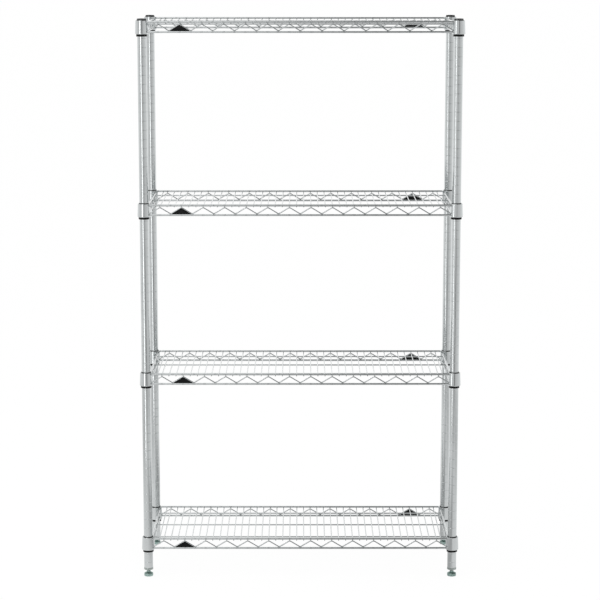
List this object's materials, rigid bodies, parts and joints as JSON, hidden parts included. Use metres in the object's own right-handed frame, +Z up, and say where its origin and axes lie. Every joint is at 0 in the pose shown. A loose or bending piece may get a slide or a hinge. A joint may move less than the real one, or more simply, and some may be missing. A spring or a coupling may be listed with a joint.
{
  "type": "wire shelving unit",
  "caption": "Free-standing chromed wire shelving unit with grooved round posts, lift-off wire shelves on tapered split sleeves, and levelling feet.",
  "frame": {"origin": "on the floor under the middle of the unit", "axes": "+X to the right seen from the front, -Y to the front, +Z up along the posts"},
  "size_m": [0.9122, 0.3552, 1.595],
  "materials": {
    "chrome": "bright chrome plate on steel",
    "black_plastic": "satin moulded plastic",
    "zinc_steel": "zinc-plated steel"
  },
  "bodies": {
    "frame": {"post_front_left": "chrome", "post_cap_front_left": "black_plastic", "foot_socket_front_left": "zinc_steel", "post_front_right": "chrome", "post_cap_front_right": "black_plastic", "foot_socket_front_right": "zinc_steel", "post_rear_left": "chrome", "post_cap_rear_left": "black_plastic", "foot_socket_rear_left": "zinc_steel", "post_rear_right": "chrome", "post_cap_rear_right": "black_plastic", "foot_socket_rear_right": "zinc_steel", "bottom_shelf_split_sleeve_front_left": "black_plastic", "bottom_shelf_split_sleeve_front_right": "black_plastic", "bottom_shelf_split_sleeve_rear_left": "black_plastic", "bottom_shelf_split_sleeve_rear_right": "black_plastic", "lower_shelf_split_sleeve_front_left": "black_plastic", "lower_shelf_split_sleeve_front_right": "black_plastic", "lower_shelf_split_sleeve_rear_left": "black_plastic", "lower_shelf_split_sleeve_rear_right": "black_plastic", "upper_shelf_split_sleeve_front_left": "black_plastic", "upper_shelf_split_sleeve_front_right": "black_plastic", "upper_shelf_split_sleeve_rear_left": "black_plastic", "upper_shelf_split_sleeve_rear_right": "black_plastic", "top_shelf_split_sleeve_front_left": "black_plastic", "top_shelf_split_sleeve_front_right": "black_plastic", "top_shelf_split_sleeve_rear_left": "black_plastic", "top_shelf_split_sleeve_rear_right": "black_plastic"},
    "bottom_shelf": {"bottom_shelf_collars": "chrome", "bottom_shelf_deck_wires": "chrome", "bottom_shelf_support_wires": "chrome", "bottom_shelf_front_truss": "chrome", "bottom_shelf_rear_truss": "chrome", "bottom_shelf_side_trusses": "chrome", "bottom_shelf_badges": "black_plastic"},
    "lower_shelf": {"lower_shelf_collars": "chrome", "lower_shelf_deck_wires": "chrome", "lower_shelf_support_wires": "chrome", "lower_shelf_front_truss": "chrome", "lower_shelf_rear_truss": "chrome", "lower_shelf_side_trusses": "chrome", "lower_shelf_badges": "black_plastic"},
    "upper_shelf": {"upper_shelf_collars": "chrome", "upper_shelf_deck_wires": "chrome", "upper_shelf_support_wires": "chrome", "upper_shelf_front_truss": "chrome", "upper_shelf_rear_truss": "chrome", "upper_shelf_side_trusses": "chrome", "upper_shelf_badges": "black_plastic"},
    "top_shelf": {"top_shelf_collars": "chrome", "top_shelf_deck_wires": "chrome", "top_shelf_support_wires": "chrome", "top_shelf_front_truss": "chrome", "top_shelf_rear_truss": "chrome", "top_shelf_side_trusses": "chrome", "top_shelf_badges": "black_plastic"},
    "foot_front_left": {"levelling_foot_front_left": "zinc_steel"},
    "foot_front_right": {"levelling_foot_front_right": "zinc_steel"},
    "foot_rear_left": {"levelling_foot_rear_left": "zinc_steel"},
    "foot_rear_right": {"levelling_foot_rear_right": "zinc_steel"}
  },
  "joints": [
    {"name": "bottom_shelf_lift", "type": "slide", "parent": "frame", "child": "bottom_shelf", "axis": [0, 0, 1], "range_m": [0, 0.43]},
    {"name": "lower_shelf_lift", "type": "slide", "parent": "frame", "child": "lower_shelf", "axis": [0, 0, 1], "range_m": [0, 0.43]},
    {"name": "upper_shelf_lift", "type": "slide", "parent": "frame", "child": "upper_shelf", "axis": [0, 0, 1], "range_m": [0, 0.455]},
    {"name": "top_shelf_lift", "type": "slide", "parent": "frame", "child": "top_shelf", "axis": [0, 0, 1], "range_m": [0, 0.06]},
    {"name": "foot_front_left_screw", "type": "slide", "parent": "frame", "child": "foot_front_left", "axis": [0, 0, 1], "range_m": [-0.018, 0.004]},
    {"name": "foot_front_right_screw", "type": "slide", "parent": "frame", "child": "foot_front_right", "axis": [0, 0, 1], "range_m": [-0.018, 0.004]},
    {"name": "foot_rear_left_screw", "type": "slide", "parent": "frame", "child": "foot_rear_left", "axis": [0, 0, 1], "range_m": [-0.018, 0.004]},
    {"name": "foot_rear_right_screw", "type": "slide", "parent": "frame", "child": "foot_rear_right", "axis": [0, 0, 1], "range_m": [-0.018, 0.004]}
  ]
}
